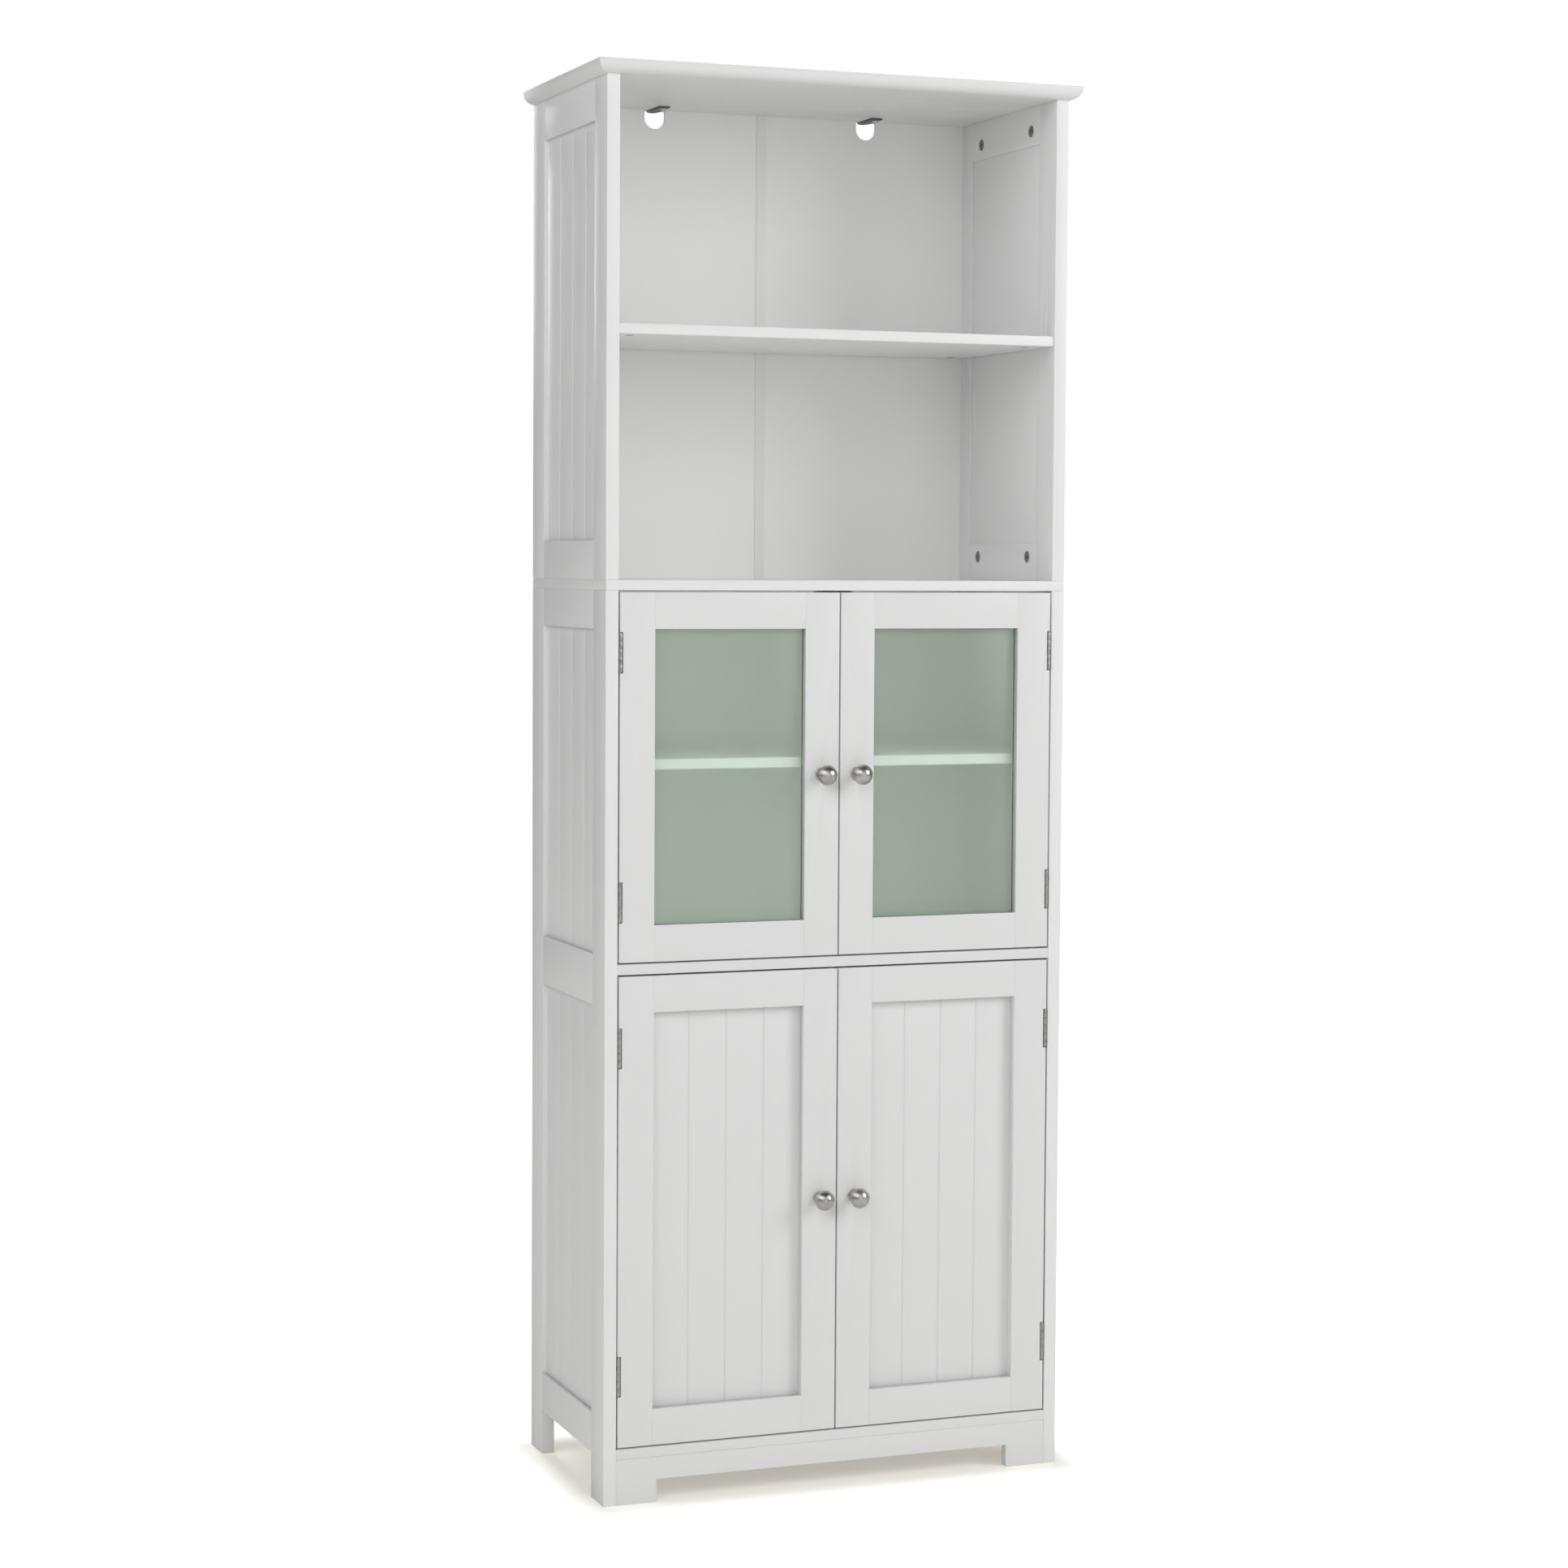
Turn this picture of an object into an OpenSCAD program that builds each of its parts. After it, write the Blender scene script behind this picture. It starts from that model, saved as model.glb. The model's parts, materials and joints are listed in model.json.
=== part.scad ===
// Tall free-standing bathroom storage cabinet: an open two-bay shelf unit over a
// glass-door cupboard and a panelled-door cupboard. Front faces -Y, floor at z = 0.

/* [Carcass] */
// Width over the two sides
body_w = 600; // [540:10:660]
// Depth from the front edges of the sides to the wall
body_d = 300; // [280:10:340]
// Thickness of the framed sides
side_t = 16; // [15:1:18]
// Thickness of the boards, shelves and apron
board_t = 12.5; // [12:0.5:15]
// Clear height under the bottom board
foot_h = 55.5; // [50:0.5:80]
// Height of each open bay
bay_h = 291; // [240:1:320]

/* [Top board] */
// Thickness of the top board
top_t = 16; // [15:0.5:20]
// Overhang and lower edge radius at the front and the two ends
top_overhang = 13.5; // [8:0.5:14]

/* [Side frames] */
// Width of the side stiles, which end as the feet
side_stile_w = 48; // [40:1:55]
// Height of the side rails next to the divider board
side_rail_h = 46.5; // [44:0.5:55]
// Height of the side rails at the top and the foot
side_end_rail_h = 49; // [44:1:60]
// Height of the side rail level with the middle board
side_middle_rail_h = 61; // [55:1:70]
// How far the side panels lie below the outer faces
side_recess = 5; // [3:0.5:6]

/* [Apron] */
// Height of the bar of the apron above its cut-out
apron_bar_h = 27.5; // [20:0.5:35]
// Width of each apron foot
apron_foot_w = 52; // [40:1:80]

/* [Doors] */
// Height of the panelled doors
lower_door_h = 569.5; // [480:0.5:600]
// Height of the glass doors
upper_door_h = 442.5; // [380:0.5:480]
// Door thickness
door_t = 18; // [18:1:20]
// Gap all round a closed door
door_gap = 2.2; // [2.2:0.1:3]
// Width of the door stiles and rails
door_frame_w = 44; // [40:1:55]
// Depth from the door front to the glass
glass_recess = 10; // [9:0.5:10]
// Depth from the door front to the tongued panel
panel_recess = 11; // [9:0.5:12]

/* [Hinges] */
// Height of the hinge barrel
barrel_h = 45; // [40:1:60]
// Outside radius of the hinge barrel
barrel_r = 2.6; // [2.4:0.1:2.6]
// Distance from a glass door's end to its hinge
upper_hinge_inset = 48; // [30:1:90]
// Distance from a panelled door's end to its hinge
lower_hinge_inset = 62; // [30:1:120]

/* [Knobs] */
// Diameter of the knob head
knob_d = 25; // [20:1:30]
// How far the lower knobs are above the middle of their doors
lower_knob_rise = 3; // [0:0.5:20]
// How far the knob stands out from the door
knob_out = 29; // [24:1:32]

/* [Hidden] */
$fn = 48;
eps = 0.01;

// Heights, from the floor up
bottom_top = foot_h + board_t;
lower_door_z = bottom_top + door_gap;
middle_z = lower_door_z + lower_door_h + door_gap;
middle_top = middle_z + board_t;
upper_door_z = middle_top + door_gap;
divider_z = upper_door_z + upper_door_h + door_gap;
divider_top = divider_z + board_t;
open_shelf_z = divider_top + bay_h;
top_z = open_shelf_z + board_t + bay_h;

// Plan: the origin is midway between the knob fronts and the wall
front_y = knob_out - (body_d + knob_out) / 2;
back_y = front_y + body_d;
mid_y = (front_y + back_y) / 2;
half_w = body_w / 2;
inner_x = half_w - side_t;

// Back sheets run in grooves and meet in an H-shaped strip
sheet_t = 3;
sheet_y = back_y - 17;
groove_d = 6;
strip_w = 13;
strip_lip = 1.2;
strip_web = 1.6;
strip_play = 0.3;
shelf_back_y = sheet_y - strip_lip - strip_play;

// How far the back sheets reach into the boards above and below them
board_groove_d = 4;
top_groove_d = 5;
sheet_play = 1;

// Bracket holes at the head of the back sheets
bracket_x = 145;
bracket_w = 15;
bracket_t = 2;
bracket_front_y = mid_y + 94;
bracket_screw_y = mid_y + 101;
strap_eye_y = back_y - 6.5;
strap_eye_r = 2.5;
bracket_end_r = 6;
board_screw_l = 9;
access_hole_r = 13.5;
access_hole_drop = 10.4;

// Side panels are held in grooves
side_tongue = 6;
side_panel_t = 9.5;
side_groove_w = 1.6;
door_groove_w = 2.6;
boards_per_panel = 4;

// Cam fittings: distance from the joint, and places along the depth
cam_r = 7.5;
cam_depth = 12.5;
cam_reach = 30;
cam_bolt_r = 3.4;
cam_bore_r = 4;
cam_thread_r = 2.5;
board_bolt_r = 3;
cam_thread_l = 8;
bolt_play = 0.2;
bolt_overlap = 2;
cam_bolt_in = 3;
upper_cam_y = 75;
lower_cam_y = 60;

// Smaller cam fittings under the ends of the boards
board_cam_r = 6;
board_cam_depth = 9.5;
board_cam_reach = 24;
board_cam_y = 114;

// Dowels and shelf pins
dowel_r = 3;
dowel_in_side = 10;
dowel_in_board = 20;
dowel_y = 126;
apron_dowel_x = 150;
apron_dowel_drop = 13;
apron_dowel_in_board = 8;
pin_r = 2.5;
pin_in_side = 10;
pin_out = 8;
pin_y = 112;
shelf_side_gap = 1;
shelf_set_back = 2;
inner_shelf_set_back = 25;
upper_shelf_rise = 7.65;
upper_shelf_z = upper_door_z + upper_door_h / 2 + upper_shelf_rise;
lower_shelf_z = (bottom_top + middle_z - board_t) / 2;

// Doors
door_w = (2 * inner_x - 3 * door_gap) / 2;
door_x = -inner_x + door_gap;
glass_t = 4;
glass_overlap = 8;
glass_play = 0.5;
door_panel_t = 5;
door_tongue = 6;

// Hinges: the barrel lies in a notch of the door's front corner
leaf_t = 1;
leaf_w = 15;
hinge_x = -inner_x + 3;
hinge_y = front_y + 1.6;
knuckles = 5;
knuckle_gap = 0.2;
knuckle_h = (barrel_h - (knuckles - 1) * knuckle_gap) / knuckles;
hinge_pin_r = 1.25;
hinge_bore_r = 1.3;
finial_r = 1.9;
finial_h = 1.6;
barrel_clear = 0.5;
notch_play = 0.4;
hinge_half_h = barrel_h / 2 + finial_h;
screw_r = 1.5;
screw_l = 11;
leaf_head_r = 2.7;
leaf_screw_y = hinge_y + 9.5;
leaf_screw_dz = 14;

// Knobs, catches and strikes
knob_x = door_gap / 2 + door_frame_w / 2;
knob_screw_r = 2;
knob_thread_l = 9;
flange_r = 8.5;
flange_h = 2.5;
neck_r = 4.5;
neck_end = 8;
flare_end = 19;
knob_rim_h = 1.5;
pan_head_r = 4;
pan_head_h = 2.2;
catch_half_w = 23;
catch_h = 13;
catch_d = 14;
catch_screw_x = 17;
catch_gap = 0.4;
magnet_x = 8.5;
magnet_w = 11;
magnet_d = 8;
magnet_wall = 2.5;
strike_t = 1.2;
strike_w = 18;
strike_h = 11;
strike_x = 13;
strike_drop = 9;
strike_screw_l = 10;
catch_y = front_y + door_t + strike_t + catch_gap;

upper_hinges = [
    upper_door_z + upper_hinge_inset + hinge_half_h,
    upper_door_z + upper_door_h - upper_hinge_inset - hinge_half_h
];
lower_hinges = [
    lower_door_z + lower_hinge_inset + hinge_half_h,
    lower_door_z + lower_door_h - lower_hinge_inset - hinge_half_h
];
side_hinges = concat(lower_hinges, upper_hinges);

// Side rails: [bottom, top] of each
upper_rails = [
    [divider_top, divider_top + side_rail_h],
    [top_z - side_end_rail_h, top_z]
];
middle_rail_over_board = 8.5;
middle_rail_z = middle_top + middle_rail_over_board - side_middle_rail_h;
lower_rails = [
    [foot_h, foot_h + side_end_rail_h],
    [middle_rail_z, middle_rail_z + side_middle_rail_h],
    [divider_z - side_rail_h, divider_z]
];
shelf_pin_levels = [lower_shelf_z - pin_r, upper_shelf_z - pin_r];
board_levels = [foot_h, middle_z, open_shelf_z];

// ---- Helpers ----

// A block given by its two corners
module block(x0, x1, y0, y1, z0, z1) {
    translate([x0, y0, z0])
        cube([x1 - x0, y1 - y0, z1 - z0]);
}

// A rod along X from x0 towards +X
module rod_x(x0, x1, y, z, r) {
    translate([x0, y, z])
        rotate([0, 90, 0])
            cylinder(h = x1 - x0, r = r);
}

// A rod along Y from y0 towards +Y
module rod_y(x, y0, y1, z, r) {
    translate([x, y0, z])
        rotate([-90, 0, 0])
            cylinder(h = y1 - y0, r = r);
}

// A rod along Z from z0 upwards
module rod_z(x, y, z0, z1, r) {
    translate([x, y, z0])
        cylinder(h = z1 - z0, r = r);
}

// The children as drawn for the left, or mirrored to the right
module on_side(side) {
    if (side == "right") mirror([1, 0, 0]) children();
    else children();
}

// The children on the left and on the right
module both_sides() {
    children();
    mirror([1, 0, 0]) children();
}

// A square bar on edge along Z, which leaves a V-cut of that width in a face through x, y
module v_cut(x, y, z0, z1, width) {
    translate([x, y, z0])
        linear_extrude(height = z1 - z0)
            polygon([[-width / 2, 0], [0, -width / 2], [width / 2, 0], [0, width / 2]]);
}

// ---- Holes shared by the pieces and what goes in them ----

// Cam fittings of the left side: [y, height, direction of the bolt]
left_cams = [
    for (s = [-1, 1]) [mid_y + s * upper_cam_y, top_z - cam_reach, 1],
    for (s = [-1, 1]) [mid_y + s * upper_cam_y, divider_top + cam_reach, -1],
    for (s = [-1, 1]) [mid_y + s * lower_cam_y, divider_z - cam_reach, 1]
];
cam_x = -half_w + side_t / 2;

module cam_pockets() {
    for (c = left_cams) {
        rod_x(-inner_x - cam_depth, -inner_x + eps, c[0], c[1], cam_r);
        z0 = c[2] > 0 ? c[1] : c[1] - cam_reach - eps;
        rod_z(cam_x, c[0], z0, z0 + cam_reach + eps, cam_bore_r);
    }
}

module cam_bolt_threads(grow) {
    for (c = left_cams) {
        z0 = c[2] > 0 ? c[1] + cam_reach - grow : c[1] - cam_reach - cam_thread_l;
        rod_z(cam_x, c[0], z0, z0 + cam_thread_l + grow, cam_thread_r);
    }
}

// Dowels at the left end of one board
module board_dowels(z) {
    for (s = [-1, 1])
        rod_x(-inner_x - dowel_in_side, -inner_x + dowel_in_board, mid_y + s * dowel_y, z, dowel_r);
}

module side_dowels() {
    for (z = board_levels) board_dowels(z + board_t / 2);
}

module side_shelf_pins() {
    for (z = shelf_pin_levels)
        for (s = [-1, 1])
            rod_x(-inner_x - pin_in_side, -inner_x + pin_out, mid_y + s * pin_y, z, pin_r);
}

// Wood screws through the frame leaves, pointing out of the cupboard
module frame_screw_shanks() {
    for (h = side_hinges)
        for (s = [-1, 1])
            rod_x(-inner_x - screw_l, -inner_x + eps, leaf_screw_y, h + s * leaf_screw_dz, screw_r);
}

module catch_screw_shanks(board_z) {
    for (s = [-1, 1])
        rod_z(s * catch_screw_x, catch_y + catch_d / 2, board_z - catch_h, board_z + board_screw_l,
            screw_r);
}

// The groove round the back sheets
module sheet_groove(z0, z1) {
    block(-inner_x - groove_d, inner_x + groove_d, sheet_y, sheet_y + sheet_t, z0, z1);
}

// Cam fittings under the ends of the boards that stand between the sides
module board_cam_pockets(z) {
    both_sides() for (s = [-1, 1]) {
        rod_z(-inner_x + board_cam_reach, mid_y + s * board_cam_y, z - eps,
            z + board_cam_depth, board_cam_r);
        rod_x(-inner_x - eps, -inner_x + board_cam_reach, mid_y + s * board_cam_y,
            z + board_t / 2, cam_bore_r);
    }
}

module board_cam_threads() {
    for (z = board_levels)
        for (s = [-1, 1])
            rod_x(-inner_x - cam_thread_l, -inner_x + eps, mid_y + s * board_cam_y,
                z + board_t / 2, cam_thread_r);
}

// Dowels between the apron and its neighbours
module apron_end_dowels() {
    rod_x(-inner_x - dowel_in_side, -inner_x + dowel_in_board, front_y + board_t / 2,
        foot_h - apron_dowel_drop, dowel_r);
}

module apron_top_dowels() {
    for (x = [-apron_dowel_x, apron_dowel_x])
        rod_z(x, front_y + board_t / 2, foot_h - dowel_in_board, foot_h + apron_dowel_in_board,
            dowel_r);
}

// ---- Boards ----

// Edge of the top board in section: a quarter-round below and a short upright face above.
// The carcass face lies at x = 0, and the board overhangs it towards -X.
module edge_section(length) {
    intersection() {
        union() {
            translate([0, top_overhang]) circle(r = top_overhang);
            square([length, top_t]);
            translate([-top_overhang, top_overhang])
                square([top_overhang + eps, top_t - top_overhang]);
        }
        translate([-top_overhang, 0]) square([length + top_overhang, top_t]);
    }
}

// The rounded front edge and the two rounded ends meet in mitres
module top_board() {
    color("whitesmoke") difference() {
        intersection() {
            translate([0, back_y, top_z])
                rotate([90, 0, 0])
                    linear_extrude(height = body_d + top_overhang)
                        both_sides() translate([-half_w, 0]) edge_section(half_w + eps);
            translate([-half_w - top_overhang, 0, top_z])
                rotate([90, 0, 90])
                    linear_extrude(height = body_w + 2 * top_overhang)
                        translate([front_y, 0]) edge_section(body_d);
        }
        sheet_groove(top_z - eps, top_z + top_groove_d);
        both_sides() {
            cam_bolt_threads(eps);
            rod_z(-bracket_x, bracket_screw_y, top_z - eps, top_z + board_screw_l, screw_r);
        }
    }
}

module divider_board() {
    color("whitesmoke") difference() {
        block(-half_w, half_w, front_y, back_y, divider_z, divider_top);
        sheet_groove(divider_top - board_groove_d, divider_top + eps);
        sheet_groove(divider_z - eps, divider_z + board_groove_d);
        both_sides() cam_bolt_threads(eps);
        catch_screw_shanks(divider_z);
    }
}

module middle_board() {
    color("whitesmoke") difference() {
        block(-inner_x, inner_x, front_y, shelf_back_y, middle_z, middle_top);
        both_sides() side_dowels();
        board_cam_pockets(middle_z);
        catch_screw_shanks(middle_z);
    }
}

module bottom_board() {
    color("whitesmoke") difference() {
        block(-inner_x, inner_x, front_y, back_y, foot_h, bottom_top);
        board_cam_pockets(foot_h);
        apron_top_dowels();
        sheet_groove(bottom_top - board_groove_d, bottom_top + eps);
        both_sides() side_dowels();
    }
}

module front_apron() {
    foot_x = inner_x - apron_foot_w;
    color("whitesmoke") difference() {
        block(-inner_x, inner_x, front_y, front_y + board_t, 0, foot_h);
        block(-foot_x, foot_x, front_y - 1, front_y + board_t + 1, -1, foot_h - apron_bar_h);
        apron_top_dowels();
        both_sides() apron_end_dowels();
    }
}

module open_shelf() {
    color("whitesmoke") difference() {
        block(-inner_x, inner_x, front_y + shelf_set_back, shelf_back_y,
            open_shelf_z, open_shelf_z + board_t);
        both_sides() side_dowels();
        board_cam_pockets(open_shelf_z);
    }
}

module loose_shelf(z) {
    color("whitesmoke")
        block(-inner_x + shelf_side_gap, inner_x - shelf_side_gap,
            front_y + inner_shelf_set_back, shelf_back_y, z, z + board_t);
}

module shelf_pins() {
    color("silver") both_sides() side_shelf_pins();
}

// ---- Framed sides, drawn for the left ----

// Opening of a framed side between two rails, grown by the tongue
module side_panel_groove(z0, z1) {
    block(-half_w + side_recess, -half_w + side_recess + side_panel_t,
        front_y + side_stile_w - side_tongue, back_y - side_stile_w + side_tongue,
        z0 - side_tongue, z1 + side_tongue);
}

module side_panel_grooves() {
    side_panel_groove(lower_rails[0][1], lower_rails[1][0]);
    side_panel_groove(lower_rails[1][1], lower_rails[2][0]);
    side_panel_groove(upper_rails[0][1], upper_rails[1][0]);
}

module side_stiles(z0, z1) {
    color("whitesmoke") difference() {
        union() {
            block(-half_w, -inner_x, front_y, front_y + side_stile_w, z0, z1);
            block(-half_w, -inner_x, back_y - side_stile_w, back_y, z0, z1);
        }
        side_panel_grooves();
        sheet_groove(foot_h, top_z + eps);
        side_dowels();
        apron_end_dowels();
        board_cam_threads();
        side_shelf_pins();
        frame_screw_shanks();
    }
}

module side_rails() {
    color("whitesmoke") difference() {
        for (r = concat(lower_rails, upper_rails))
            block(-half_w, -inner_x, front_y + side_stile_w, back_y - side_stile_w, r[0], r[1]);
        side_panel_grooves();
        cam_pockets();
    }
}

module side_panels() {
    opening_d = body_d - 2 * side_stile_w;
    pitch = opening_d / boards_per_panel;
    color("whitesmoke") difference() {
        side_panel_grooves();
        for (i = [1 : boards_per_panel - 1])
            v_cut(-half_w + side_recess, front_y + side_stile_w + i * pitch, foot_h, top_z,
                side_groove_w);
    }
}

// ---- Back ----

module back_sheets() {
    outer_x = -inner_x - groove_d + sheet_play;
    in_board = board_groove_d - sheet_play;
    in_top = top_groove_d - sheet_play;
    color("gainsboro") both_sides() difference() {
        union() {
            block(outer_x, -strip_web / 2, sheet_y, sheet_y + sheet_t,
                divider_top - in_board, top_z + in_top);
            block(outer_x, -strip_web / 2, sheet_y, sheet_y + sheet_t,
                bottom_top - in_board, divider_z + in_board);
        }
        rod_y(-bracket_x, sheet_y - 1, sheet_y + sheet_t + 1, top_z - access_hole_drop, access_hole_r);
        block(-bracket_x - access_hole_r, -bracket_x + access_hole_r, sheet_y - 1,
            sheet_y + sheet_t + 1, top_z - access_hole_drop, top_z + top_groove_d);
    }
}

module back_strip(z0, z1) {
    for (y = [sheet_y - strip_lip, sheet_y + sheet_t])
        block(-strip_w / 2, strip_w / 2, y, y + strip_lip, z0, z1);
    block(-strip_web / 2, strip_web / 2, sheet_y - eps, sheet_y + sheet_t + eps, z0, z1);
}

module back_strips() {
    color("white") {
        back_strip(divider_top, top_z);
        back_strip(bottom_top, divider_z);
    }
}

// ---- Fittings of the carcass ----

module cam_lock(c) {
    difference() {
        rod_x(-inner_x - cam_depth, -inner_x, c[0], c[1], cam_r);
        z0 = c[2] > 0 ? c[1] - cam_bolt_in : c[1] - cam_r - 1;
        rod_z(cam_x, c[0], z0, z0 + cam_r + 1 + cam_bolt_in, cam_bolt_r + bolt_play);
        translate([-inner_x, c[0], c[1]])
            for (a = [0, 90])
                rotate([a, 0, 0]) cube([4, 9, 1.6], center = true);
    }
}

module board_cam_lock(y, z) {
    difference() {
        rod_z(-inner_x + board_cam_reach, y, z, z + board_cam_depth, board_cam_r);
        rod_x(-inner_x, -inner_x + board_cam_reach + cam_bolt_in, y, z + board_t / 2,
            board_bolt_r + bolt_play);
        translate([-inner_x + board_cam_reach, y, z])
            for (a = [0, 90])
                rotate([0, 0, a]) cube([7, 1.4, 3], center = true);
    }
}

module cam_locks() {
    color("silver") both_sides() {
        for (c = left_cams) cam_lock(c);
        for (z = board_levels)
            for (s = [-1, 1]) board_cam_lock(mid_y + s * board_cam_y, z);
    }
}

module cam_bolts() {
    color("silver") both_sides() {
        cam_bolt_threads(eps);
        for (c = left_cams) {
            z0 = c[2] > 0 ? c[1] - bolt_overlap : c[1] - cam_reach;
            rod_z(cam_x, c[0], z0, z0 + cam_reach + bolt_overlap, cam_bolt_r);
        }
        board_cam_threads();
        for (z = board_levels)
            for (s = [-1, 1])
                rod_x(-inner_x, -inner_x + board_cam_reach + bolt_overlap, mid_y + s * board_cam_y,
                    z + board_t / 2, board_bolt_r);
    }
}

module dowels() {
    color("burlywood") {
        apron_top_dowels();
        both_sides() {
            side_dowels();
            apron_end_dowels();
        }
    }
}

module anti_tip_brackets() {
    color("dimgray") both_sides() difference() {
        union() {
            block(-bracket_x - bracket_w / 2, -bracket_x + bracket_w / 2,
                bracket_front_y, strap_eye_y, top_z - bracket_t, top_z);
            rod_z(-bracket_x, strap_eye_y, top_z - bracket_t, top_z, bracket_end_r);
        }
        rod_z(-bracket_x, bracket_screw_y, top_z - bracket_t - 1, top_z + 1, screw_r);
        rod_z(-bracket_x, strap_eye_y, top_z - bracket_t - 1, top_z + 1, strap_eye_r);
    }
}

// A pan head under the level z, with its shank going up
module pan_head(x, y, z) {
    difference() {
        rod_z(x, y, z - pan_head_h, z, pan_head_r);
        translate([x, y, z - pan_head_h])
            for (a = [0, 90])
                rotate([0, 0, a]) cube([5, 1.1, 2], center = true);
    }
}

module pan_head_screws() {
    color("silver") {
        both_sides() {
            pan_head(-bracket_x, bracket_screw_y, top_z - bracket_t);
            rod_z(-bracket_x, bracket_screw_y, top_z - bracket_t, top_z + board_screw_l, screw_r);
        }
        for (z = [divider_z, middle_z]) {
            catch_screw_shanks(z);
            for (s = [-1, 1])
                pan_head(s * catch_screw_x, catch_y + catch_d / 2, z - catch_h);
        }
    }
}

// ---- Hinges, drawn for the left ----

// Height of the lower end of a knuckle
function knuckle_z(h, i) = h - barrel_h / 2 + i * (knuckle_h + knuckle_gap);

// A leaf whose plate lies at x, with knuckles number first, first + 2 and so on
module hinge_leaf(h, x, first) {
    difference() {
        union() {
            block(x, x + leaf_t, hinge_y + barrel_r + barrel_clear, hinge_y + leaf_w,
                h - barrel_h / 2, h + barrel_h / 2);
            for (i = [first : 2 : knuckles - 1]) {
                rod_z(hinge_x, hinge_y, knuckle_z(h, i), knuckle_z(h, i) + knuckle_h, barrel_r);
                block(x, x + leaf_t, hinge_y, hinge_y + barrel_r + barrel_clear + eps,
                    knuckle_z(h, i), knuckle_z(h, i) + knuckle_h);
            }
        }
        rod_z(hinge_x, hinge_y, h - barrel_h, h + barrel_h, hinge_bore_r);
    }
}

// Countersunk head, wide end at x0 and shank end at x1
module leaf_screw_head(x0, x1, h) {
    for (s = [-1, 1])
        translate([x0, leaf_screw_y, h + s * leaf_screw_dz])
            rotate([0, x1 > x0 ? 90 : -90, 0])
                cylinder(h = abs(x1 - x0), r1 = leaf_head_r, r2 = screw_r);
}

module hinge_frame_leaves() {
    color("gray") both_sides() for (h = side_hinges)
        difference() {
            hinge_leaf(h, -inner_x, 0);
            leaf_screw_head(-inner_x + leaf_t, -inner_x, h);
        }
}

module hinge_frame_screws() {
    color("silver") both_sides() {
        for (h = side_hinges) leaf_screw_head(-inner_x + leaf_t, -inner_x, h);
        frame_screw_shanks();
    }
}

module hinge_pins() {
    color("silver") both_sides() for (h = side_hinges) {
        rod_z(hinge_x, hinge_y, h - barrel_h / 2, h + barrel_h / 2, hinge_pin_r);
        for (s = [0, 1])
            translate([hinge_x, hinge_y, h])
                mirror([0, 0, s])
                    translate([0, 0, barrel_h / 2])
                        cylinder(h = finial_h, r1 = finial_r, r2 = finial_r - 0.7);
    }
}

module catch_housings() {
    color("white") for (z = [divider_z, middle_z])
        difference() {
            block(-catch_half_w, catch_half_w, catch_y, catch_y + catch_d, z - catch_h, z);
            both_sides() catch_magnet(z);
            catch_screw_shanks(z);
        }
}

// One magnet with its pole face in the front of the housing
module catch_magnet(z) {
    block(-magnet_x - magnet_w / 2, -magnet_x + magnet_w / 2, catch_y, catch_y + magnet_d,
        z - catch_h + magnet_wall, z - magnet_wall);
}

module catch_magnets() {
    color("dimgray") for (z = [divider_z, middle_z])
        both_sides() catch_magnet(z);
}

// ---- Doors, drawn for the left: z is the lower end, h the height ----

door_out_x = door_x + door_w;
stile_in_x = door_x + door_frame_w;
stile_out_x = door_out_x - door_frame_w;
door_back_y = front_y + door_t;

// Height of a door's knob: at the middle, or a little over it on the lower doors
function knob_z(z, h) = z + h / 2 + (z == lower_door_z ? lower_knob_rise : 0);

// The notches and screw holes in a door's hinge stile
module door_hinge_cuts(hinges) {
    notch = hinge_half_h + notch_play;
    for (h = hinges) {
        block(door_x - 1, hinge_x + barrel_r + barrel_clear + 0.1, front_y - 1,
            hinge_y + barrel_r + notch_play, h - notch, h + notch);
        for (s = [-1, 1])
            rod_x(door_x - eps, door_x + screw_l, leaf_screw_y, h + s * leaf_screw_dz, screw_r);
    }
}

// The room that the glass and its beads take in the back of the frame
module glass_rebate(z, h) {
    block(stile_in_x - glass_overlap, stile_out_x + glass_overlap,
        front_y + glass_recess, door_back_y + 1,
        z + door_frame_w - glass_overlap, z + h - door_frame_w + glass_overlap);
}

// The groove that holds a panelled door's panel
module door_panel_space(z, h) {
    block(stile_in_x - door_tongue, stile_out_x + door_tongue,
        front_y + panel_recess, front_y + panel_recess + door_panel_t,
        z + door_frame_w - door_tongue, z + h - door_frame_w + door_tongue);
}

module door_stiles(z, h, hinges, glazed) {
    color("whitesmoke") difference() {
        union() {
            block(door_x, stile_in_x, front_y, door_back_y, z, z + h);
            block(stile_out_x, door_out_x, front_y, door_back_y, z, z + h);
        }
        if (glazed) glass_rebate(z, h);
        else door_panel_space(z, h);
        door_hinge_cuts(hinges);
        rod_y(-knob_x, front_y - 1, door_back_y + 1, knob_z(z, h), knob_screw_r);
        rod_y(-strike_x, door_back_y - strike_screw_l, door_back_y + 1, z + h - strike_drop, screw_r);
    }
}

module door_rails(z, h, glazed) {
    color("whitesmoke") difference() {
        union() {
            block(stile_in_x, stile_out_x, front_y, door_back_y, z, z + door_frame_w);
            block(stile_in_x, stile_out_x, front_y, door_back_y, z + h - door_frame_w, z + h);
        }
        if (glazed) glass_rebate(z, h);
        else door_panel_space(z, h);
    }
}

module door_glass(z, h) {
    inset = glass_overlap - glass_play;
    color("darkseagreen", 0.6)
        block(stile_in_x - inset, stile_out_x + inset,
            front_y + glass_recess, front_y + glass_recess + glass_t,
            z + door_frame_w - inset, z + h - door_frame_w + inset);
}

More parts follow.
